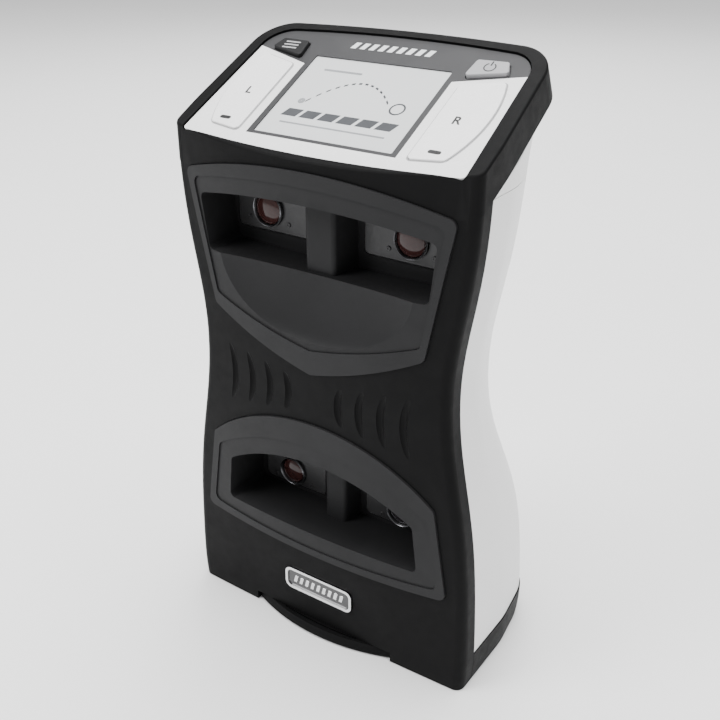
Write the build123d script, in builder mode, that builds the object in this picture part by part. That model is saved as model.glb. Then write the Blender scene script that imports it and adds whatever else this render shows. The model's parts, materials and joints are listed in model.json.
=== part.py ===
"""Golf launch monitor: a free-standing camera tower with a tilted display console.

X is to the viewer's right, Y runs to the back, Z is up, and the base rests on z = 0.
Depths in the comments are measured back from the front lower edge, at Y0.
"""
import os
from math import atan2, degrees

from build123d import *

os.makedirs("parts", exist_ok=True)

# ---- driving dimensions (mm) ----
Y0 = -42.5              # front lower edge of the case
WALL = 3.0              # case wall
SPLIT = 12.0            # depth of the seam between front and rear shells
TRAY_Z = 18.0           # top of the base tray
HEAD_Z = 261.0          # seam between rear and head shells
GAP = 0.15              # half width of a visible seam
TILT = 27.5             # console slope from level
CONSOLE_Z = 271.9       # console surface at depth 0.4
COLLAR_H = 15.0         # collar height below the console surface
UP_LENS = (41.3, 233.0, 9.0, 18.5)    # x, z, radius and depth of the upper lenses
LOW_LENS = (35.8, 79.5, 8.5, 24.0)
UP_PLATE = (38.0, 232.0, 45.6, 21.2)  # x, z, width and height of the camera faceplates
LOW_PLATE = (34.0, 81.5, 42.0, 22.0)
SCREEN = (76.0, 57.0)   # visible display
KEY_TRAVEL = 0.8
# level, half width, depth, front bulge
LEVELS = [
    (0.5, 88.0, 92.8, 1.5), (18.0, 89.0, 94.0, 2.0), (60.0, 87.3, 90.0, 3.8),
    (105.0, 81.8, 76.5, 4.6), (135.0, 76.2, 65.0, 4.4), (162.0, 73.6, 61.0, 4.4),
    (190.0, 75.4, 61.5, 5.0), (220.0, 80.4, 64.0, 6.3), (244.0, 83.1, 66.2, 7.8),
    (262.0, 84.0, 68.2, 8.4), (325.0, 84.0, 78.0, 8.4),
]
UP_OUT = [(0, 163), (61.5, 185.9), (75.4, 253.7), (0, 264.5)]
UP_IN = [(0, 176), (59.5, 192.0), (70.4, 250.0), (0, 257.5)]
LOW_OUT = [(0, 52.4), (77.9, 56.8), (69.5, 107.2), (0, 134.5)]
LOW_IN = [(0, 56.6), (72.8, 61.6), (66.2, 100.4), (0, 121.0)]

console = Plane(origin=(0, Y0 + 0.4, CONSOLE_Z), x_dir=(1, 0, 0),
                z_dir=(Vector(0, 0, 1).rotate(Axis.X, TILT)))
front = Plane(origin=(0, Y0, 0), x_dir=(1, 0, 0), z_dir=(0, -1, 0))


def section(z, w, d, bulge, inset):
    """Closed outline of the tower at one level, pulled in by inset."""
    w, d, f, r = w - inset, d - inset, inset, max(5.0 - inset, 1.5)
    pts = [(w, 0.45 * d), (w - 0.022 * w, 0.64 * d), (w - 0.1 * w, 0.88 * d),
           (w - 0.26 * w, 0.955 * d), (0.4 * w, 0.985 * d), (0, d)]
    pts += [(-x, y) for x, y in reversed(pts[:-1])]
    with BuildSketch(Plane.XY.offset(z)) as sk:
        with BuildLine():
            ThreePointArc((-w + r, Y0 + f), (0, Y0 + f - bulge), (w - r, Y0 + f))
            RadiusArc((w - r, Y0 + f), (w, Y0 + f + r), -r)
            Line((w, Y0 + f + r), (w, Y0 + 0.45 * d))
            Spline([(x, Y0 + y) for x, y in pts], tangents=[(0, 1), (0, -1)])
            Line((-w, Y0 + 0.45 * d), (-w, Y0 + f + r))
            RadiusArc((-w, Y0 + f + r), (-w + r, Y0 + f), -r)
        make_face()
    return sk.sketch.face()


def envelope(inset, floor=0.0):
    """The whole tower outline as one solid, pulled in by inset and cut off at floor."""
    with BuildPart() as env:
        loft([section(z, w, d, b, inset) for z, w, d, b in LEVELS])
        if floor > 0:
            with Locations((0, 0, floor / 2)):
                Box(400, 400, floor, mode=Mode.SUBTRACT)
    return env.part


def shield(pts, grow=0.0):
    """Four-cornered camera window outline with arched top and bottom edges."""
    (_, zb), (xb, zc), (xt, zd), (_, zt) = pts
    mid = 0.5 * (zb + zt)
    up = lambda z: z + (grow if z > mid else -grow)
    with BuildSketch(front) as sk:
        with BuildLine():
            ThreePointArc((-xt - grow, up(zd)), (0, up(zt)), (xt + grow, up(zd)))
            Line((xt + grow, up(zd)), (xb + grow, up(zc)))
            if pts[0][1] > 150:
                for s in (1, -1):
                    ThreePointArc((s * (xb + grow), up(zc)),
                                  (s * 0.53 * xb, up(zb + 0.42 * (zc - zb))), (0, up(zb)))
            else:
                ThreePointArc((xb + grow, up(zc)), (0, up(zb)), (-xb - grow, up(zc)))
            Line((-xb - grow, up(zc)), (-xt - grow, up(zd)))
        make_face()
        fillet(sk.vertices().filter_by(lambda v: abs(v.X) > 5), 4.0)
    return sk.sketch


def prism(sketch, near, far):
    """Front view sketch run from depth near to depth far."""
    with BuildPart() as p:
        add(extrude(sketch.moved(Location((0, near, 0))), amount=-(far - near)))
    return p.part


def window(kind, grow=0.0):
    """Opening of a camera pocket."""
    if kind == "up":
        corners = [(63.0 + grow, 214.0 - grow), (66.6 + grow, 242.5 + grow)]
        top, low = 249.0 + grow, 213.0 - grow
    else:
        corners = [(61.0 + grow, 67.6 - grow), (58.0 + grow, 93.8 + grow)]
        top, low = 111.0 + grow, 66.6 - grow
    (xb, zb), (xt, zt) = corners
    with BuildSketch(front) as sk:
        with BuildLine():
            ThreePointArc((-xt, zt), (0, top), (xt, zt))
            Line((xt, zt), (xb, zb))
            ThreePointArc((xb, zb), (0, low), (-xb, zb))
            Line((-xb, zb), (-xt, zt))
        make_face()
        fillet(sk.vertices(), 3.0)
    return sk.sketch


def collar_outline(grow=0.0):
    """Rim of the console in the console plane."""
    g = grow
    with BuildSketch(console) as sk:
        with BuildLine():
            Polyline((-79.4 - g, 83.6 + g), (-83.0 - g, 20), (-83.0 - g, -24), (83.0 + g, -24),
                     (83.0 + g, 20), (79.4 + g, 83.6 + g))
            ThreePointArc((79.4 + g, 83.6 + g), (0, 87.0 + g), (-79.4 - g, 83.6 + g))
        make_face()
        fillet(sk.vertices().filter_by(lambda v: v.Y > 60), 20)
        fillet(sk.vertices().filter_by(lambda v: 0 < v.Y < 60), 90)
    return sk.sketch


def cover_outline(inset=0.0):
    """Console panel inside the rim."""
    i = inset
    with BuildSketch(console) as sk:
        with BuildLine():
            Line((-77.0 + i, -0.7 + i), (-73.6 + i, 78.6 - i))
            ThreePointArc((-73.6 + i, 78.6 - i), (0, 82.6 - i), (73.6 - i, 78.6 - i))
            Line((73.6 - i, 78.6 - i), (77.0 - i, -0.7 + i))
            ThreePointArc((77.0 - i, -0.7 + i), (0, -5.0 + i), (-77.0 + i, -0.7 + i))
        make_face()
        fillet(sk.vertices().filter_by(lambda v: v.Y < 20), 2.2)
        fillet(sk.vertices().filter_by(lambda v: v.Y > 20), 15.0 - i)
    return sk.sketch


def slab(sketch, top, bottom):
    """Console sketch between two heights above the console plane."""
    n = console.z_dir
    with BuildPart() as p:
        add(extrude(sketch.moved(Location(n * bottom)), amount=top - bottom, dir=n))
    return p.part


def key_outline(side, inset=0.0):
    """One of the large left and right keys."""
    i = inset
    with BuildSketch(console) as sk:
        with BuildLine():
            a, b = (46.3 + i, 54.3 - i), (46.3 + i, 4.0 + i)
            c, d = (63.6 - 0.6 * i, 6.4 + i), (66.8 - i, 59.6 - i)
            Line(a, b)
            Line(b, c)
            ThreePointArc(c, (70.9 - i, 33.0), d)
            Line(d, a)
        make_face()
        fillet(sk.vertices(), 2.4 - i)
        if side < 0:
            mirror(about=Plane.YZ, mode=Mode.REPLACE)
    return sk.sketch


def small_key(pts, inset):
    """Trapezoid menu and power keys."""
    with BuildSketch(console) as sk:
        with BuildLine():
            Polyline(*pts, close=True)
        make_face()
        offset(amount=-inset - 1.5)
        offset(amount=1.5, kind=Kind.ARC)
    return sk.sketch


MENU_PTS = [(-65.6, 64.2), (-62.6, 71.6), (-47.0, 71.2), (-45.6, 59.4)]
POWER_PTS = [(65.6, 64.2), (62.6, 71.6), (47.0, 71.2), (45.6, 59.4)]


def block(w, d, h, x, depth, z):
    """Box centred on x, from depth backwards, from z upwards."""
    with BuildPart() as b:
        with Locations((x, Y0 + depth + d / 2, z + h / 2)):
            Box(w, d, h)
    return b.part


def above_console(drop):
    """Everything above a plane parallel to the console and drop below it."""
    with BuildSketch(console) as sk:
        Rectangle(600, 600)
    return slab(sk.sketch, 300, -drop)


def groove(side, x, z, half, depth):
    """Curved finger crease in the waist, deepest in the middle and fading at its ends."""
    radius, surface = 1.6 * half, -4.4 * (1 - (x / 72) ** 2)
    tilt = degrees(atan2(depth + 1.2, 0.22 * radius))
    ring = Torus(radius, 2.3, rotation=(90, 0, 0), mode=Mode.PRIVATE)
    ring = ring.moved(Location((side * radius, 0, 0))).rotate(Axis.Z, -side * tilt)
    return ring.moved(Location((side * x, Y0 + surface - 2.3 + depth, z)))


skin = envelope(0.0)
inner = envelope(WALL, floor=WALL)
recess = envelope(1.6)
proud = envelope(-1.2)
plate = envelope(1.55)
above_collar = above_console(COLLAR_H)
ahead = block(400, 60 + SPLIT, 400, 0, -60, -1)

# tongue of the battery pack at the front lower edge
with BuildSketch(Plane.XY) as tongue_sketch:
    with BuildLine():
        ThreePointArc((-45, Y0 + 1.0), (0, Y0 - 8.0), (45, Y0 + 1.0))
        Polyline((45, Y0 + 1.0), (45, Y0 + 11.5), (-45, Y0 + 11.5), (-45, Y0 + 1.0))
    make_face()
tongue_outline = tongue_sketch.sketch

# ---- outer case ----
with BuildPart() as collar_part:
    add(slab(collar_outline(1.0), 1.6, -COLLAR_H))
    extrude(section(225, 84.0, 300, 8.4, 0), amount=110, dir=(0, 0, 1), mode=Mode.INTERSECT)
    top_edges = collar_part.faces().sort_by(Axis((0, 0, 0), console.z_dir))[-1].edges()
    fillet(top_edges, 1.4)
collar = collar_part.part
with BuildPart() as front_shell:
    add(skin)
    add(inner, mode=Mode.SUBTRACT)
    add(ahead, mode=Mode.INTERSECT)
    add(above_collar, mode=Mode.SUBTRACT)
    add(collar)
    add(slab(cover_outline(-0.35), 5, -40), mode=Mode.SUBTRACT)
    for pts_out, pts_in in ((UP_OUT, UP_IN), (LOW_OUT, LOW_IN)):
        add(prism(shield(pts_out, 0.25), -20, 12) - recess, mode=Mode.SUBTRACT)
        add(prism(shield(pts_in, 0.2), -20, 30), mode=Mode.SUBTRACT)
    add(slab(cover_outline(-1.0), -2.6, -5.0) - slab(cover_outline(2.0), 0, -9))
    # battery mouth, badge seat and finger creases
    add(block(91.4, 40, 6.4, 0, -20, -0.2), mode=Mode.SUBTRACT)
    with BuildSketch(front.offset(20)):
        with Locations((0, 30.0)):
            RectangleRounded(44.8, 14.3, 4.2)
    extrude(amount=-19.4, mode=Mode.SUBTRACT)
    for side in (1, -1):
        for x, half in ((15, 13), (27, 16.5), (39, 20), (51.5, 24)):
            add(groove(side, x, 149, half, 1.5), mode=Mode.SUBTRACT)
front_shell.part.label = "front_shell"
export_step(front_shell.part, "parts/front_shell.step")

white = envelope(0.5)
behind = block(400, 120, 400, 0, SPLIT + 2 * GAP, 0)
with BuildPart() as rear_body:
    add(white)
    add(inner, mode=Mode.SUBTRACT)
    add(behind, mode=Mode.INTERSECT)
    add(above_console(COLLAR_H + 0.3), mode=Mode.SUBTRACT)

with BuildPart() as head_shell:
    add(rear_body.part)
    add(block(400, 200, HEAD_Z + GAP, 0, -50, 0), mode=Mode.SUBTRACT)
head_shell.part.label = "head_shell"
export_step(head_shell.part, "parts/head_shell.step")

# ---- rear shell with the port bay ----
PORT_W, PORT_Z, PORT_H, PIN_Y = 36.0, 31.0, 26.5, 89.3
with BuildPart() as rear_shell:
    add(rear_body.part)
    add(block(400, 200, 100, 0, -50, HEAD_Z - GAP), mode=Mode.SUBTRACT)
    add(block(400, 200, TRAY_Z + 2 * GAP, 0, -50, 0), mode=Mode.SUBTRACT)
    for s in (1, -1):
        add(block(5, 6.5, 8, s * (PORT_W / 2 + 2.5), 84.5, PORT_Z - 1) & inner)
    add(block(PORT_W, 30, PORT_H, 0, 80, PORT_Z), mode=Mode.SUBTRACT)
    with Locations(Location((0, Y0 + PIN_Y, PORT_Z + 3), (0, 90, 0))):
        Cylinder(1.03, PORT_W + 7, mode=Mode.SUBTRACT)
rear_shell.part.label = "rear_shell"
export_step(rear_shell.part, "parts/rear_shell.step")

with BuildPart() as port_hinge_pin:
    with Locations(Location((0, Y0 + PIN_Y, PORT_Z + 3), (0, 90, 0))):
        Cylinder(1.0, PORT_W + 6)
port_hinge_pin.part.label = "port_hinge_pin"
export_step(port_hinge_pin.part, "parts/port_hinge_pin.step")

with BuildPart() as port_cover:
    add(envelope(0.7) - envelope(2.4))
    add(block(PORT_W - 1, 30, PORT_H - 4.0, 0, 80, PORT_Z + 3.5), mode=Mode.INTERSECT)
    with Locations(Location((0, Y0 + PIN_Y, PORT_Z + 3), (0, 90, 0))):
        Cylinder(2.0, PORT_W - 1)
        Cylinder(1.05, PORT_W, mode=Mode.SUBTRACT)
    with Locations((0, Y0 + 90.0, PORT_Z + PORT_H - 3.0)):
        Box(12, 1.4, 2.0)
port_cover.part.label = "port_cover"
export_step(port_cover.part, "parts/port_cover.step")

# ---- base tray and battery ----
BAY = (84.0, 57.0, 15.6)
with BuildPart() as base_tray:
    add(skin)
    add(inner, mode=Mode.SUBTRACT)
    add(block(400, 120, 60, 0, SPLIT + 2 * GAP, -1), mode=Mode.INTERSECT)
    add(block(400, 200, 100, 0, -50, TRAY_Z), mode=Mode.SUBTRACT)
    add(block(BAY[0] + 6, BAY[1] + 2.7, TRAY_Z, 0, SPLIT + 0.3, 0))
    add(block(BAY[0], BAY[1] + 20, BAY[2], 0, SPLIT - 20, 0), mode=Mode.SUBTRACT)
    with Locations((0, Y0 + 80.5, 8)):
        Cylinder(7.5, 16)
        Cylinder(5.52, 12, mode=Mode.SUBTRACT)
    with Locations((0, Y0 + 80.5, 4)):
        Cylinder(3.6, 20, mode=Mode.SUBTRACT)
    with Locations(*[(s * 70, Y0 + y, 0.6) for s in (1, -1) for y in (22, 72)]):
        Cylinder(7.1, 1.2, mode=Mode.SUBTRACT)
    with Locations(*[(s * 58, Y0 + y, 1.0) for s in (1, -1) for y in (24, 70)]):
        Cylinder(3.2, 2.0, mode=Mode.SUBTRACT)
        Cylinder(1.6, 12, mode=Mode.SUBTRACT)
    for s in (1, -1):
        add(block(2.4, 3.0, 6.0, s * 12, BAY[1] + SPLIT - 0.3, 5), mode=Mode.SUBTRACT)
base_tray.part.label = "base_tray"
export_step(base_tray.part, "parts/base_tray.step")

with BuildPart() as battery_pack:
    add(block(80, 57.2, 13.6, 0, 11.0, 1.2))
    fillet(battery_pack.edges().filter_by(Axis.Y), 2.0)
    extrude(tongue_outline.moved(Location((0, 0, 1.2))), amount=4.6, taper=16)
    with BuildSketch(Plane.XY.offset(6)):
        with BuildLine():
            groove_line = ThreePointArc((-24, Y0 - 1.9), (0, Y0 - 3.6), (24, Y0 - 1.9))
        SlotArc(groove_line, 1.1)
    extrude(amount=-1.1, mode=Mode.SUBTRACT)
    with BuildSketch(Plane.XY.offset(1.2)):
        with Locations((0, Y0 + 32)):
            Rectangle(30, 1.6)
    extrude(amount=0.8, mode=Mode.SUBTRACT)
battery_pack.part.label = "battery_pack"
export_step(battery_pack.part, "parts/battery_pack.step")

with BuildPart() as battery_contacts:
    for s in (1, -1):
        add(block(2.0, 0.5, 5.2, s * 12, BAY[1] + SPLIT, 5.3))
        add(block(2.0, 2.5, 0.5, s * 12, BAY[1] + SPLIT, 10.2))
battery_contacts.part.label = "battery_contacts"
export_step(battery_contacts.part, "parts/battery_contacts.step")

with BuildPart() as feet:
    with Locations(*[(s * 70, Y0 + y, 0.575) for s in (1, -1) for y in (22, 72)]):
        Cylinder(7.0, 1.15)
feet.part.label = "feet"
export_step(feet.part, "parts/feet.step")

with BuildPart() as tripod_bush:
    with Locations((0, Y0 + 80.5, 8)):
        Cylinder(5.5, 11.6)
        Cylinder(3.175, 30, mode=Mode.SUBTRACT)
tripod_bush.part.label = "tripod_bush"
export_step(tripod_bush.part, "parts/tripod_bush.step")

with BuildPart() as case_screws:
    with Locations(*[(s * 58, Y0 + y, 1.2) for s in (1, -1) for y in (24, 70)]):
        Cylinder(3.0, 1.4)
    with Locations(*[(s * 58, Y0 + y, 5.8) for s in (1, -1) for y in (24, 70)]):
        Cylinder(1.5, 8.0)
case_screws.part.label = "case_screws"
export_step(case_screws.part, "parts/case_screws.step")

# ---- camera windows ----
def bezel(pts_out, pts_in):
    """Proud ring that frames a camera window."""
    return (prism(shield(pts_out), -20, 12) - prism(shield(pts_in), -21, 13)) & (proud - plate)


def shroud(kind, pts_in, lens, plate_size, post):
    """Liner behind a camera window, with its pocket, centre post and camera openings."""
    half, near = post
    back = lens[3] + 2.5
    zb, zt = (205, 256) if kind == "up" else (58, 118)
    with BuildPart() as p:
        add(prism(shield(pts_in, -0.15), -20, 9) & envelope(-0.4))
        add(prism(window(kind, 2.6), 2, back + 2.2))
        add(prism(window(kind), -30, back), mode=Mode.SUBTRACT)
        with BuildSketch(Plane.XY.offset(zb)) as plan:
            with BuildLine():
                Polyline((-half, Y0 + near), (half, Y0 + near), (half + 2, Y0 + back + 1),
                         (-half - 2, Y0 + back + 1), close=True)
            make_face()
            fillet(plan.vertices().sort_by(Axis.Y)[:2], 2.5)
        post_bar = extrude(amount=zt - zb, mode=Mode.PRIVATE)
        add(post_bar & prism(window(kind, 1.0), -20, back + 1))
        x, z, width, height = plate_size
        for s in (1, -1):
            add(block(width + 1.0, 12, height + 1.0, s * x, back - 6, z - height / 2 - 0.5),
                mode=Mode.SUBTRACT)
        if kind == "up":
            bowl = scale(Sphere(1, mode=Mode.PRIVATE), by=(66, 9.5, 36), mode=Mode.PRIVATE)
            bowl = bowl.moved(Location((0, Y0 - 8.2, 214)))
            add(bowl - block(200, 60, 60, 0, -40, 214), mode=Mode.SUBTRACT)
    return p.part


for name, shape in (("upper_bezel", bezel(UP_OUT, UP_IN)), ("lower_bezel", bezel(LOW_OUT, LOW_IN)),
                    ("upper_shroud", shroud("up", UP_IN, UP_LENS, UP_PLATE, (8.5, 4.0))),
                    ("lower_shroud", shroud("low", LOW_IN, LOW_LENS, LOW_PLATE, (6.5, 14.0)))):
    shape.label = name
    export_step(shape, "parts/" + name + ".step")

# ---- cameras ----
def at_lens(sign, lens, back):
    """Place on a lens axis, measured back from its faceplate, looking forward."""
    return Location((sign * lens[0], Y0 + lens[3] + back, lens[1]), (90, 0, 0))


def camera_body(sign, lens, plate_size):
    x, z, width, height = plate_size
    with BuildPart() as p:
        add(block(width, 4.0, height, sign * x, lens[3], z - height / 2))
        fillet(p.edges().filter_by(Axis.Y), 3.0)
        chamfer(p.faces().sort_by(Axis.Y)[0].edges(), 0.8)
        add(block(28, 15, 19, sign * lens[0], lens[3] + 3.5, lens[1] - 9.5))
        with Locations(at_lens(sign, lens, 2.0)):
            Cylinder(lens[2] + 0.05, 8.0, mode=Mode.SUBTRACT)
        with Locations(at_lens(sign, lens, 12)):
            Cylinder(5.0, 16, mode=Mode.SUBTRACT)
    return p.part


def lens_barrel(sign, lens):
    with BuildPart() as p:
        with Locations(at_lens(sign, lens, 2.2)):
            Cylinder(lens[2], 7.2)
            Cylinder(lens[2] - 1.0, 20, mode=Mode.SUBTRACT)
        with Locations(at_lens(sign, lens, -1.0)):
            Cone(lens[2] - 1.0, lens[2] - 0.3, 0.8, mode=Mode.SUBTRACT)
    return p.part


def write(name, shape):
    """Label a finished piece and write its file."""
    shape.label = name
    export_step(shape, "parts/" + name + ".step")


places = [(tier + "_" + side, sign, lens, plate_size)
          for tier, lens, plate_size in (("upper", UP_LENS, UP_PLATE), ("lower", LOW_LENS, LOW_PLATE))
          for side, sign in (("left", -1), ("right", 1))]
for place, sign, lens, plate_size in places:
    write(place + "_camera", camera_body(sign, lens, plate_size))
    write(place + "_lens_barrel", lens_barrel(sign, lens))

with BuildPart() as lens_glass:
    for _, sign, lens, _ in places:
        with Locations(at_lens(sign, lens, 1.4)):
            Cylinder(lens[2] - 1.02, 2.0)
write("lens_glass", lens_glass.part)

with BuildPart() as camera_boards:
    for _, sign, lens, _ in places:
        add(block(26, 1.6, 18, sign * lens[0], lens[3] + 18.6, lens[1] - 9))
write("camera_boards", camera_boards.part)
write("lamp_array", block(8.4, 1.4, 15, 49.6, LOW_LENS[3] - 1.42, 74))

# ---- frame and electronics ----
with BuildPart() as chassis:
    add(block(106, 2.0, 232, 0, 46.3, 24))
    for s in (1, -1):
        add(block(2.0, 5.0, 226, s * 52, 47, 27))
    for z, h in ((60, 44), (140, 60), (214, 36)):
        add(block(70, 10, h, 0, 42, z), mode=Mode.SUBTRACT)
write("chassis", chassis.part)

with BuildPart() as main_board:
    add(block(96, 1.6, 180, 0, 53.2, 44))
    add(block(22, 2.0, 22, 0, 51.2, 116))
    for z in (70, 100, 190):
        add(block(16, 1.6, 12, 22, 51.6, z))
write("main_board", main_board.part)

with BuildPart() as standoffs:
    for x in (-44, 44):
        for z in (52, 128, 216):
            with Locations(Location((x, Y0 + 50.75, z), (90, 0, 0))):
                Cylinder(2.5, 4.86)
write("standoffs", standoffs.part)

with BuildPart() as port_board:
    add(block(33, 24, 1.6, 0, 55.5, 36.2))
write("port_board", port_board.part)
with BuildPart() as data_port:
    add(block(9.0, 7.4, 3.2, -8, 72.5, 37.82))
    add(block(7.8, 6.5, 2.2, -8, 74.0, 38.3), mode=Mode.SUBTRACT)
write("data_port", data_port.part)
with BuildPart() as power_jack:
    add(block(9.0, 11.0, 10.5, 8, 68.5, 37.82))
    with Locations(Location((8, Y0 + 76, 43.3), (90, 0, 0))):
        Cylinder(3.1, 16, mode=Mode.SUBTRACT)
    with Locations(Location((8, Y0 + 72, 43.3), (90, 0, 0))):
        Cylinder(1.0, 8)
write("power_jack", power_jack.part)

# ---- badge ----
def badge(w, h, r, near, far):
    with BuildSketch(front.offset(-near)) as sk:
        with Locations((0, 30.0)):
            RectangleRounded(w, h, r)
    return extrude(sk.sketch, amount=-(far - near))


write("badge_frame", badge(44.2, 13.7, 4.0, -3.7, -0.7) - badge(41.2, 10.7, 2.8, -6, 2))
write("badge_plate", badge(41.0, 10.5, 2.7, -2.9, -0.7))

# ---- console ----
with BuildSketch(console) as grey_zone:
    with BuildLine():
        Polyline((-41, 4.0), (41, 4.0), (41, 56), (90, 70.1), (90, 120), (-90, 120),
                 (-90, 70.1), (-41, 56), close=True)
    make_face()
grey_block = slab(grey_zone.sketch, 20, -20)


def rounded(w, h, r, v, top, bottom):
    """Rounded rectangle slab on the console, centred at height v up the slope."""
    with BuildSketch(console) as sk:
        with Locations((0, v)):
            RectangleRounded(w, h, r)
    return slab(sk.sketch, top, bottom)


MID_V = 34.5
with BuildPart() as display_surround:
    add(slab(cover_outline(0.15), 0.6, -2.2))
    add(grey_block, mode=Mode.INTERSECT)
    add(rounded(SCREEN[0], SCREEN[1], 0.8, MID_V, 5, -1.0), mode=Mode.SUBTRACT)
    add(rounded(SCREEN[0] - 2, SCREEN[1] - 2, 0.8, MID_V, 5, -9), mode=Mode.SUBTRACT)
    for pts in (MENU_PTS, POWER_PTS):
        add(slab(small_key(pts, -0.35), 5, -9), mode=Mode.SUBTRACT)
write("display_surround", display_surround.part)

with BuildPart() as console_cover:
    add(slab(cover_outline(0.15), 0.6, -2.2))
    add(grey_block, mode=Mode.SUBTRACT)
    for side in (1, -1):
        add(slab(key_outline(side, -0.35), 5, -9), mode=Mode.SUBTRACT)
write("console_cover", console_cover.part)

write("display_window", rounded(SCREEN[0] - 0.1, SCREEN[1] - 0.1, 0.7, MID_V, 0.0, -0.98))
write("display_panel", rounded(82, 63, 1.0, MID_V, -2.4, -5.4))
write("display_board", rounded(80, 60, 1.0, MID_V, -5.5, -7.1))


def key(sketch_at, top):
    """Key cap with a retaining flange under the cover."""
    with BuildPart() as p:
        add(slab(sketch_at(0.0), top, -3.6))
        fillet(p.faces().sort_by(Axis((0, 0, 0), console.z_dir))[-1].edges(), 0.5)
        add(slab(sketch_at(-1.3), -2.6, -3.6))
    return p.part


write("left_key", key(lambda i: key_outline(-1, i), 1.5))
write("right_key", key(lambda i: key_outline(1, i), 1.5))
write("menu_button", key(lambda i: small_key(MENU_PTS, i), 2.4))
write("power_button", key(lambda i: small_key(POWER_PTS, i), 2.6))

with BuildPart() as keypad_board:
    add(slab(cover_outline(4.0), -6.0, -7.6))
    add(rounded(84, 65, 1.0, MID_V, 5, -9), mode=Mode.SUBTRACT)
write("keypad_board", keypad_board.part)

with BuildPart() as key_domes:
    with Locations(*[console * Location((s * x, v, -5.5)) for s in (1, -1)
                     for x, v in ((56, 20), (56, 44), (55.5, 66.5))]):
        Cylinder(2.6, 0.98)
write("key_domes", key_domes.part)
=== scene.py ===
"""Studio scene of the golf launch monitor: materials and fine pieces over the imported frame."""
import json
import math

import bmesh
import bpy
from mathutils import Matrix, Vector


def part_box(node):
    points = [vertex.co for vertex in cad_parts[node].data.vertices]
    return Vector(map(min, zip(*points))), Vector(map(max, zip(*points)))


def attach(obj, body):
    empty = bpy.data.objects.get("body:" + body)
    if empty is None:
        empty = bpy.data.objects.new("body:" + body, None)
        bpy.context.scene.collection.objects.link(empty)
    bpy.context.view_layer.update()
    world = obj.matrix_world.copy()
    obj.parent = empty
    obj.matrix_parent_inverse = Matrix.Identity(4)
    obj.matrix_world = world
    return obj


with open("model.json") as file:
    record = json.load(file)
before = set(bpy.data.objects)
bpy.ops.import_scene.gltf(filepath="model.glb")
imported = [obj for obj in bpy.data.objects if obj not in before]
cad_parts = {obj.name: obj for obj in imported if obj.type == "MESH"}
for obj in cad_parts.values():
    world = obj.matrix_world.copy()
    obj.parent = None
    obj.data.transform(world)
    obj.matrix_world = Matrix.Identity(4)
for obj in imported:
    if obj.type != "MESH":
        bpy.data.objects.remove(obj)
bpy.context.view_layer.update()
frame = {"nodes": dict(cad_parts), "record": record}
nodes = frame["nodes"]

# ---- sizes shared with the model, in metres ----
FRONT_Y = -0.0425                      # front lower edge of the case
TILT = math.radians(27.5)              # console slope from level
CONSOLE = (Matrix.Translation((0, FRONT_Y + 0.0004, 0.2719))
           @ Matrix.Rotation(TILT, 4, "X"))
UP_LENS = (0.0413, 0.233, 0.009, 0.0185)     # x, z, radius and depth of the upper lenses
LOW_LENS = (0.0358, 0.0795, 0.0085, 0.024)
FACE = Matrix.Rotation(math.radians(90), 4, "X")     # local +Z looks out of the front
COVER_TOP = 0.0006                     # heights of the surfaces above the console plane
KEY_TOP = 0.0015
MENU_TOP = 0.0024
POWER_TOP = 0.0026
DISPLAY_TOP = 0.00001
DISPLAY_MIDDLE = 0.0345                # middle of the display up the slope
KEY_X = 0.0553                         # menu and power keys, across and up the slope
KEY_V = 0.0665
INK = 0.00006                          # thickness of printed marks
DISPLAY_INK = 0.00004
LENSES = [(tier + "_" + side, sign * lens[0], lens[1], lens[2], FRONT_Y + lens[3])
          for tier, lens in (("upper", UP_LENS), ("lower", LOW_LENS))
          for side, sign in (("left", -1), ("right", 1))]


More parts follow.
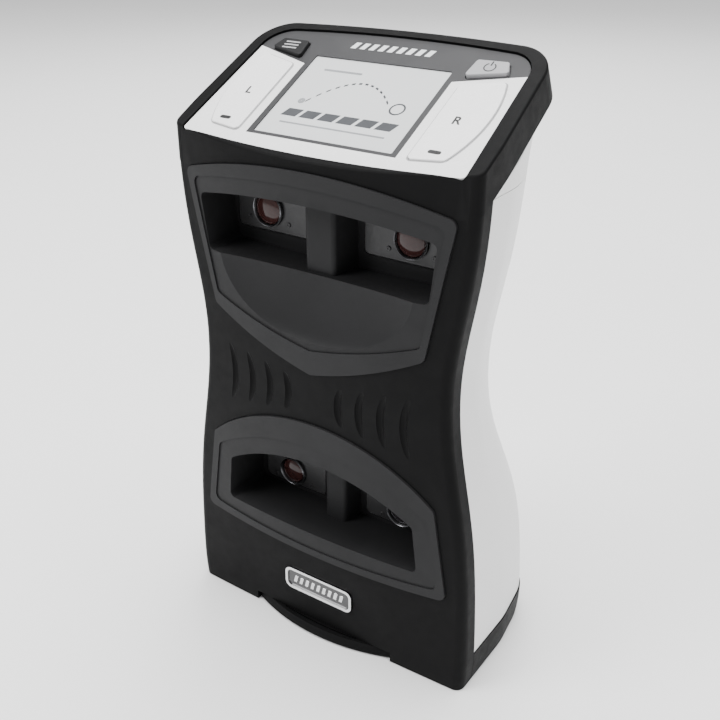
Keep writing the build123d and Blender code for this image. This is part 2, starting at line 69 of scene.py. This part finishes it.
# ---- materials ----
def material(name, color, rough, grain=(1500, 0.1), mottle=(18, 0.06), metallic=0.0, coat=0.0,
             wear=0.0, glow=0.0, sheen=0.0, specular=0.5):
    """Procedural finish: moulded grain as bump, uneven gloss and tone, and paler worn edges."""
    m = bpy.data.materials.new(name)
    m.use_nodes = True
    tree = m.node_tree
    new, link = tree.nodes.new, tree.links.new
    shader = tree.nodes["Principled BSDF"]
    shader.inputs["Metallic"].default_value = metallic
    shader.inputs["Coat Weight"].default_value = coat
    shader.inputs["Coat Roughness"].default_value = 0.06
    shader.inputs["Sheen Weight"].default_value = sheen
    shader.inputs["Specular IOR Level"].default_value = specular
    where = new("ShaderNodeTexCoord").outputs["Object"]

    def noise(scale, detail=3.0):
        n = new("ShaderNodeTexNoise")
        n.inputs["Scale"].default_value = scale
        n.inputs["Detail"].default_value = detail
        link(where, n.inputs["Vector"])
        return n.outputs["Fac"]

    def remap(value, low, high, start=0.3, end=0.7):
        r = new("ShaderNodeMapRange")
        r.inputs["From Min"].default_value = start
        r.inputs["From Max"].default_value = end
        r.inputs["To Min"].default_value = low
        r.inputs["To Max"].default_value = high
        link(value, r.inputs["Value"])
        return r.outputs["Result"]

    def mix(factor, a, b):
        x = new("ShaderNodeMix")
        x.data_type = "RGBA"
        link(factor, x.inputs[0])
        for socket, value in ((x.inputs[6], a), (x.inputs[7], b)):
            if isinstance(value, tuple):
                socket.default_value = value
            else:
                link(value, socket)
        return x.outputs[2]

    blotch = noise(mottle[0])
    dark = tuple(c * (1 - mottle[1]) for c in color) + (1.0,)
    pale = tuple(min(1.0, c * (1 + mottle[1])) for c in color) + (1.0,)
    tone = mix(remap(blotch, 0, 1), dark, pale)
    gloss = remap(noise(mottle[0] * 9, 4.0), rough[0], rough[1])
    if wear:
        edge = remap(new("ShaderNodeNewGeometry").outputs["Pointiness"], 0, wear, 0.52, 0.62)
        worn = tuple(min(1.0, c * 1.9 + 0.03) for c in color) + (1.0,)
        tone = mix(edge, tone, worn)
    link(tone, shader.inputs["Base Color"])
    link(gloss, shader.inputs["Roughness"])
    bump = new("ShaderNodeBump")
    bump.inputs["Strength"].default_value = grain[1]
    bump.inputs["Distance"].default_value = 0.0002
    link(noise(grain[0], 2.0), bump.inputs["Height"])
    link(bump.outputs["Normal"], shader.inputs["Normal"])
    if glow:
        link(tone, shader.inputs["Emission Color"])
        shader.inputs["Emission Strength"].default_value = glow
    return m


FINISH = {
    "case_black": material("case_black", (0.0048, 0.0048, 0.0050), (0.46, 0.56), (2200, 0.26),
                           (22, 0.08), wear=0.08, specular=0.055),
    "case_white": material("case_white", (0.80, 0.80, 0.80), (0.30, 0.38), (700, 0.03), (14, 0.015),
                           coat=0.15),
    "bezel_grey": material("bezel_grey", (0.0165, 0.0165, 0.0172), (0.40, 0.50), (2600, 0.16),
                           (25, 0.06), wear=0.08, specular=0.08),
    "console_grey": material("console_grey", (0.040, 0.040, 0.042), (0.30, 0.38), (900, 0.03),
                             (12, 0.03), coat=0.06, specular=0.22),
    "console_white": material("console_white", (0.83, 0.83, 0.83), (0.22, 0.30), (800, 0.03),
                              (16, 0.012), coat=0.3),
    "key_white": material("key_white", (0.86, 0.86, 0.86), (0.24, 0.32), (1400, 0.06), (20, 0.012),
                          coat=0.2),
    "key_grey": material("key_grey", (0.30, 0.30, 0.31), (0.34, 0.42), (1400, 0.10), (30, 0.04)),
    "screen": material("screen", (0.60, 0.61, 0.615), (0.10, 0.16), (1600, 0.015), (6, 0.05),
                       coat=0.6, glow=0.12),
    "lens_glass": material("lens_glass", (0.034, 0.013, 0.012), (0.05, 0.10), (300, 0.01),
                           (60, 0.25),
                           coat=0.12, specular=0.25),
    "lens_dark": material("lens_dark", (0.012, 0.010, 0.012), (0.04, 0.09), (300, 0.01), (60, 0.2),
                          coat=0.8),
    "ring_dark": material("ring_dark", (0.16, 0.16, 0.17), (0.25, 0.35), (2600, 0.12), (90, 0.1),
                          metallic=1.0),
    "camera_black": material("camera_black", (0.016, 0.016, 0.017), (0.32, 0.44), (3000, 0.25),
                             (60, 0.10), metallic=0.35, wear=0.5),
    "led_dark": material("led_dark", (0.020, 0.012, 0.018), (0.12, 0.20), (900, 0.04), (80, 0.15),
                         coat=0.6),
    "chrome": material("chrome", (0.78, 0.78, 0.79), (0.10, 0.20), (1800, 0.05), (60, 0.04),
                       metallic=1.0),
    "badge_dark": material("badge_dark", (0.022, 0.022, 0.024), (0.16, 0.24), (2500, 0.06),
                           (50, 0.08), coat=0.5),
    "board_green": material("board_green", (0.015, 0.10, 0.04), (0.30, 0.45), (1300, 0.20),
                            (160, 0.35)),
    "aluminium": material("aluminium", (0.58, 0.59, 0.60), (0.28, 0.42), (2400, 0.22), (40, 0.06),
                          metallic=1.0),
    "steel": material("steel", (0.50, 0.50, 0.51), (0.22, 0.36), (2400, 0.18), (70, 0.08),
                      metallic=1.0),
    "brass": material("brass", (0.60, 0.43, 0.18), (0.24, 0.38), (2000, 0.15), (60, 0.10),
                      metallic=1.0),
    "rubber": material("rubber", (0.020, 0.020, 0.020), (0.62, 0.78), (1500, 0.45), (30, 0.12),
                       sheen=0.25),
    "print_dark": material("print_dark", (0.016, 0.016, 0.017), (0.40, 0.50), (2000, 0.05),
                           (50, 0.05),
                           specular=0.25),
    "print_mid": material("print_mid", (0.34, 0.34, 0.345), (0.40, 0.50), (2000, 0.05), (50, 0.04),
                          specular=0.3),
    "print_pale": material("print_pale", (0.72, 0.73, 0.74), (0.35, 0.45), (2000, 0.05),
                           (50, 0.03)),
    "lcd_ink": material("lcd_ink", (0.055, 0.058, 0.064), (0.12, 0.2), (2600, 0.04), (90, 0.10),
                        coat=0.6),
    "lcd_ink_mid": material("lcd_ink_mid", (0.26, 0.27, 0.28), (0.12, 0.2), (2600, 0.04),
                            (90, 0.06),
                            coat=0.6),
}
for part in frame["record"]["subparts"]:
    mesh = nodes[part["node"]].data
    mesh.materials.clear()
    mesh.materials.append(FINISH[part["material_slot"]])


# ---- mesh helpers ----
def piece(name, bm, place, finish, body, bevel=0.0, smooth=True):
    """Mesh piece in its place, with its finish, riding on a body."""
    mesh = bpy.data.meshes.new(name)
    bmesh.ops.recalc_face_normals(bm, faces=bm.faces)
    bm.to_mesh(mesh)
    bm.free()
    obj = bpy.data.objects.new(name, mesh)
    bpy.context.collection.objects.link(obj)
    mesh.transform(place)
    mesh.materials.append(FINISH[finish])
    if bevel:
        mod = obj.modifiers.new("soft_edges", "BEVEL")
        mod.width, mod.segments, mod.limit_method = bevel, 2, "ANGLE"
    if smooth:
        for face in mesh.polygons:
            face.use_smooth = True
        mesh.set_sharp_from_angle(angle=math.radians(40))
    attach(obj, body)
    return obj


def plates(bm, outlines, height):
    """Flat plates of one height, one for each outline of (x, y) corners."""
    for outline in outlines:
        face = bm.faces.new([bm.verts.new((x, y, 0)) for x, y in outline])
        top = bmesh.ops.extrude_face_region(bm, geom=[face])
        bmesh.ops.translate(bm, vec=(0, 0, height),
                            verts=[v for v in top["geom"] if isinstance(v, bmesh.types.BMVert)])


def lathe(bm, profile, centre=(0, 0), steps=48):
    """Turned shape about local Z from (radius, height) points."""
    rings = []
    for r, h in profile:
        if r == 0:
            rings.append([bm.verts.new((centre[0], centre[1], h))])
        else:
            rings.append([bm.verts.new((centre[0] + r * math.cos(a),
                                        centre[1] + r * math.sin(a), h))
                          for a in (2 * math.pi * i / steps for i in range(steps))])
    for low, high in zip(rings, rings[1:]):
        for i in range(steps):
            j = (i + 1) % steps
            if len(low) == 1:
                bm.faces.new((low[0], high[j], high[i]))
            elif len(high) == 1:
                bm.faces.new((low[i], low[j], high[0]))
            else:
                bm.faces.new((low[i], low[j], high[j], high[i]))


def slanted(x, y, w, h, lean):
    """Corners of a leaning bar centred on (x, y)."""
    return [(x + sx * w / 2 + sy * lean / 2, y + sy * h / 2)
            for sx, sy in ((-1, -1), (1, -1), (1, 1), (-1, 1))]


def pill(x, y, w, h, steps=8):
    """Outline of a bar with round ends."""
    r = h / 2
    right = [(x + w / 2 - r + r * math.cos(a), y + r * math.sin(a))
             for a in (math.pi * (i / steps - 0.5) for i in range(steps + 1))]
    return right + [(2 * x - a, 2 * y - b) for a, b in right]


def ring(bm, x, y, outer, inner, height, start=0.0, sweep=2 * math.pi, steps=40):
    """Flat ring, or part of one, as joined quads with thickness."""
    closed = sweep >= 2 * math.pi - 1e-6
    count = steps if closed else steps + 1
    grid = []
    for i in range(count):
        a = start + sweep * i / steps
        c, s = math.cos(a), math.sin(a)
        grid.append([bm.verts.new((x + r * c, y + r * s, h))
                     for r, h in ((inner, 0), (outer, 0), (outer, height), (inner, height))])
    for i in range(count if closed else count - 1):
        a, b = grid[i], grid[(i + 1) % count]
        for k in range(4):
            bm.faces.new((a[k], a[(k + 1) % 4], b[(k + 1) % 4], b[k]))
    if not closed:
        bm.faces.new(grid[0])
        bm.faces.new(grid[-1])


def arc_through(p, q, r, steps):
    """Points from p to r on the circle through p, q and r."""
    (ax, ay), (bx, by), (cx, cy) = p, q, r
    twice = 2 * (ax * (by - cy) + bx * (cy - ay) + cx * (ay - by))
    aa, bb, cc = ax * ax + ay * ay, bx * bx + by * by, cx * cx + cy * cy
    ox = (aa * (by - cy) + bb * (cy - ay) + cc * (ay - by)) / twice
    oy = (aa * (cx - bx) + bb * (ax - cx) + cc * (bx - ax)) / twice
    radius = math.hypot(ax - ox, ay - oy)
    start, end = math.atan2(ay - oy, ax - ox), math.atan2(cy - oy, cx - ox)
    return [(ox + radius * math.cos(t), oy + radius * math.sin(t))
            for t in (start + (end - start) * i / steps for i in range(steps + 1))]


def soften(points, radius, steps=6):
    """Closed outline with its sharp corners rounded."""
    out = []
    for i, point in enumerate(points):
        here = Vector(point)
        back = (Vector(points[i - 1]) - here).normalized()
        ahead = (Vector(points[(i + 1) % len(points)]) - here).normalized()
        if back.dot(ahead) < -0.9:
            out.append(here)
            continue
        first, last = here + back * radius, here + ahead * radius
        out += [first * (1 - t) ** 2 + here * (2 * t * (1 - t)) + last * t * t
                for t in (k / steps for k in range(steps + 1))]
    return out


def band(bm, outline, inner, outer, low, high):
    """Closed strip that follows an anticlockwise outline between two offsets outwards."""
    grid = []
    for i, point in enumerate(outline):
        along = (outline[(i + 1) % len(outline)] - outline[i - 1]).normalized()
        out = Vector((along.y, -along.x))
        grid.append([bm.verts.new((*(point + out * r), h))
                     for r, h in ((inner, low), (outer, low), (outer, high), (inner, high))])
    for i, here in enumerate(grid):
        after = grid[(i + 1) % len(grid)]
        for k in range(4):
            bm.faces.new((here[k], here[(k + 1) % 4], after[(k + 1) % 4], after[k]))


def on_console(x, v, height):
    """Placement on the console: x across, v up the slope, height above its plane."""
    return CONSOLE @ Matrix.Translation((x, v, height))


# ---- lenses and lamps behind the windows ----
for place, x, z, radius, depth in LENSES:
    seat = Matrix.Translation((x, depth, z)) @ FACE
    clear = radius - 0.00115
    bm = bmesh.new()
    lathe(bm, [(clear, -0.0020), (clear, -0.0002)]
          + [(clear * math.cos(t), -0.0002 + 0.0024 * math.sin(t))
             for t in (math.pi / 2 * i / 12 for i in range(1, 12))] + [(0, 0.0022)], steps=64)
    dark = place == "lower_right"
    piece(place + "_lens", bm, seat, "lens_dark" if dark else "lens_glass", "case")
    bm = bmesh.new()
    lathe(bm, [(radius - 0.0011, 0.0012), (radius - 0.0009, 0.0018), (radius - 0.0006, 0.0020),
               (radius - 0.0003, 0.0017), (radius - 0.0003, 0.0013), (radius - 0.0011, 0.0012)],
          steps=64)
    piece(place + "_retaining_ring", bm, seat, "ring_dark", "case")
    bm = bmesh.new()
    for sx in (-1, 1):
        lathe(bm, [(0.0, 0.0003), (0.0005, 0.0003), (0.00055, 0.0005), (0.0010, 0.0005),
                   (0.0012, 0.0003), (0.0012, -0.0004)], (sx * 0.0122, -0.0060), 24)
    piece(place + "_face_screws", bm, seat, "camera_black", "case")

low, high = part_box("lamp_array")
bm = bmesh.new()
for row in range(5):
    for col in range(3):
        centre = ((low[0] + high[0]) / 2 + (col - 1) * 0.0026,
                  (low[2] + high[2]) / 2 + (row - 2) * 0.0028)
        lathe(bm, [(0.0011, 0), (0.0011, 0.0009), (0.0009, 0.0014), (0.0005, 0.0017), (0, 0.0018)],
              centre, 16)
piece("lamps", bm, Matrix.Translation((0, low[1], 0)) @ FACE, "led_dark", "case")

# ---- key legends, and painted shade in the key gaps ----
for side, letter, x in (("left", "L", -0.0575), ("right", "R", 0.0570)):
    text = bpy.data.curves.new(side + "_key_letter", "FONT")
    text.body, text.size = letter, 0.0068
    text.align_x, text.align_y = "CENTER", "CENTER"
    text.extrude, text.offset = 0.00003, 0.00016
    mark = bpy.data.objects.new(side + "_key_letter", text)
    bpy.context.collection.objects.link(mark)
    mark.matrix_world = on_console(x, 0.0308, KEY_TOP + 0.00003)
    text.materials.append(FINISH["print_dark"])
    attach(mark, side + "_key")
    bm = bmesh.new()
    plates(bm, [pill(0, 0, 0.0064, 0.0022)], INK)
    piece(side + "_key_lamp", bm, on_console(x, 0.0103, KEY_TOP), "print_dark", side + "_key")

# Mid-grey band sunk in the gap round each key: painted shade standing in for the shadow inside the
# key gap, not a printed line.
key_line = soften([(0.0463, 0.0543), (0.0463, 0.0040)]
                  + arc_through((0.0636, 0.0064), (0.0709, 0.0330), (0.0668, 0.0596), 12), 0.0024)
for side, flip in (("left", Matrix.Scale(-1, 4, (1, 0, 0))), ("right", Matrix.Identity(4))):
    bm = bmesh.new()
    band(bm, key_line, 0.00003, 0.00072, 0.00035, 0.00063)
    piece(side + "_key_gap_shade", bm, on_console(0, 0, 0) @ flip, "print_mid", "case", smooth=False)

bm = bmesh.new()
plates(bm, [pill(0, dy, 0.0088, 0.0009) for dy in (-0.0022, 0, 0.0022)], INK)
piece("menu_symbol", bm, on_console(-KEY_X, KEY_V, MENU_TOP), "print_mid", "menu_button")

bm = bmesh.new()
ring(bm, 0, 0, 0.0030, 0.0024, INK, math.radians(120), math.radians(300))
plates(bm, [slanted(0, 0.0026, 0.0007, 0.0030, 0)], INK)
piece("power_symbol", bm, on_console(KEY_X, KEY_V, POWER_TOP), "print_dark", "power_button")

# ---- plate under the console rim ----
# It hides the open slot that the modelled rim leaves over the head shell at the back.
bm = bmesh.new()
rim_line = soften([(-0.0780, 0.0450), (0.0780, 0.0450)]
                  + arc_through((0.0775, 0.0815), (0, 0.0850), (-0.0775, 0.0815), 8), 0.016)
plates(bm, [rim_line], 0.0012)
piece("rim_underside", bm, on_console(0, 0, -0.0147), "case_black", "case", smooth=False)

# ---- plain marks in place of lettering ----
bm = bmesh.new()
plates(bm, [slanted(-0.021 + i * 0.0052, 0, 0.0030, 0.0046, 0.0014) for i in range(9)], INK)
piece("console_mark", bm, on_console(0, 0.0735, COVER_TOP), "print_pale", "case")
bm = bmesh.new()
plates(bm, [slanted(-0.0152 + i * 0.0038, 0, 0.0020, 0.0044, 0.0012) for i in range(9)], 0.0003)
piece("badge_mark", bm, Matrix.Translation((0, FRONT_Y - 0.0029, 0.030)) @ FACE, "chrome", "case",
      bevel=0.0001)

# ---- display graphics: a ball flight over a distance scale ----
def flight(t):
    """Point on the ball's path, from 0 at the tee to 1 where it lands."""
    return -0.024 + 0.044 * t, -0.004 + 0.060 * t * (1 - t) + 0.004 * t


DASHES, HALF_DASH = 26, 0.0006
bm = bmesh.new()
for i in range(0, DASHES, 2):
    (x0, y0), (x1, y1) = flight(i / DASHES), flight((i + 1) / DASHES)
    plates(bm, [[(x0, y0 - HALF_DASH), (x1, y1 - HALF_DASH),
                 (x1, y1 + HALF_DASH), (x0, y0 + HALF_DASH)]], DISPLAY_INK)
ring(bm, 0.0248, -0.0005, 0.0040, 0.0031, DISPLAY_INK)
plates(bm, [slanted(-0.026 + i * 0.0104, -0.0125, 0.0084, 0.0052, 0.0022) for i in range(6)],
       DISPLAY_INK)
display = on_console(0, DISPLAY_MIDDLE, DISPLAY_TOP)
piece("display_graphic", bm, display, "lcd_ink", "case", smooth=False)
bm = bmesh.new()
plates(bm, [pill(0, -0.0195, 0.058, 0.0010), pill(-0.017, 0.0195, 0.022, 0.0014)], DISPLAY_INK)
ring(bm, -0.0262, -0.0040, 0.0019, 0.0002, DISPLAY_INK)
piece("display_rule", bm, display, "lcd_ink_mid", "case", smooth=False)

# ---- floor, light and camera ----
bm = bmesh.new()
bmesh.ops.create_grid(bm, x_segments=8, y_segments=8, size=4.0)
floor_mesh = bpy.data.meshes.new("studio_floor")
bm.to_mesh(floor_mesh)
bm.free()
floor = bpy.data.objects.new("studio_floor", floor_mesh)
bpy.context.collection.objects.link(floor)
floor_mesh.materials.append(material("studio_floor", (0.86, 0.86, 0.86), (0.75, 0.85), (60, 0.02),
                                     (2, 0.01)))

world = bpy.data.worlds.new("studio")
world.use_nodes = True
world.node_tree.nodes["Background"].inputs["Color"].default_value = (1.0, 1.0, 1.0, 1)
world.node_tree.nodes["Background"].inputs["Strength"].default_value = 0.66
bpy.context.scene.world = world

AIM = Vector((0, 0, 0.16))
for name, spot, size, power in (("key_light", (-1.1, -1.3, 1.5), 1.0, 34),
                                ("top_light", (0.1, 0.1, 2.3), 2.0, 112),
                                ("back_light", (-0.9, 1.5, 1.3), 1.0, 16)):
    lamp = bpy.data.lights.new(name, "AREA")
    lamp.size, lamp.energy = size, power
    light = bpy.data.objects.new(name, lamp)
    bpy.context.collection.objects.link(light)
    light.location = spot
    light.rotation_euler = (AIM - Vector(spot)).to_track_quat("-Z", "Y").to_euler()

camera_data = bpy.data.cameras.new("camera")
camera_data.sensor_width, camera_data.lens = 36.0, 49.6
camera = bpy.data.objects.new("camera", camera_data)
bpy.context.collection.objects.link(camera)
camera.location = (0.2607, FRONT_Y - 0.3453, 0.3856)
view = Vector((-0.5031, 0.7389, -0.4482))
camera.rotation_euler = view.to_track_quat("-Z", "Y").to_euler()
bpy.context.scene.camera = camera
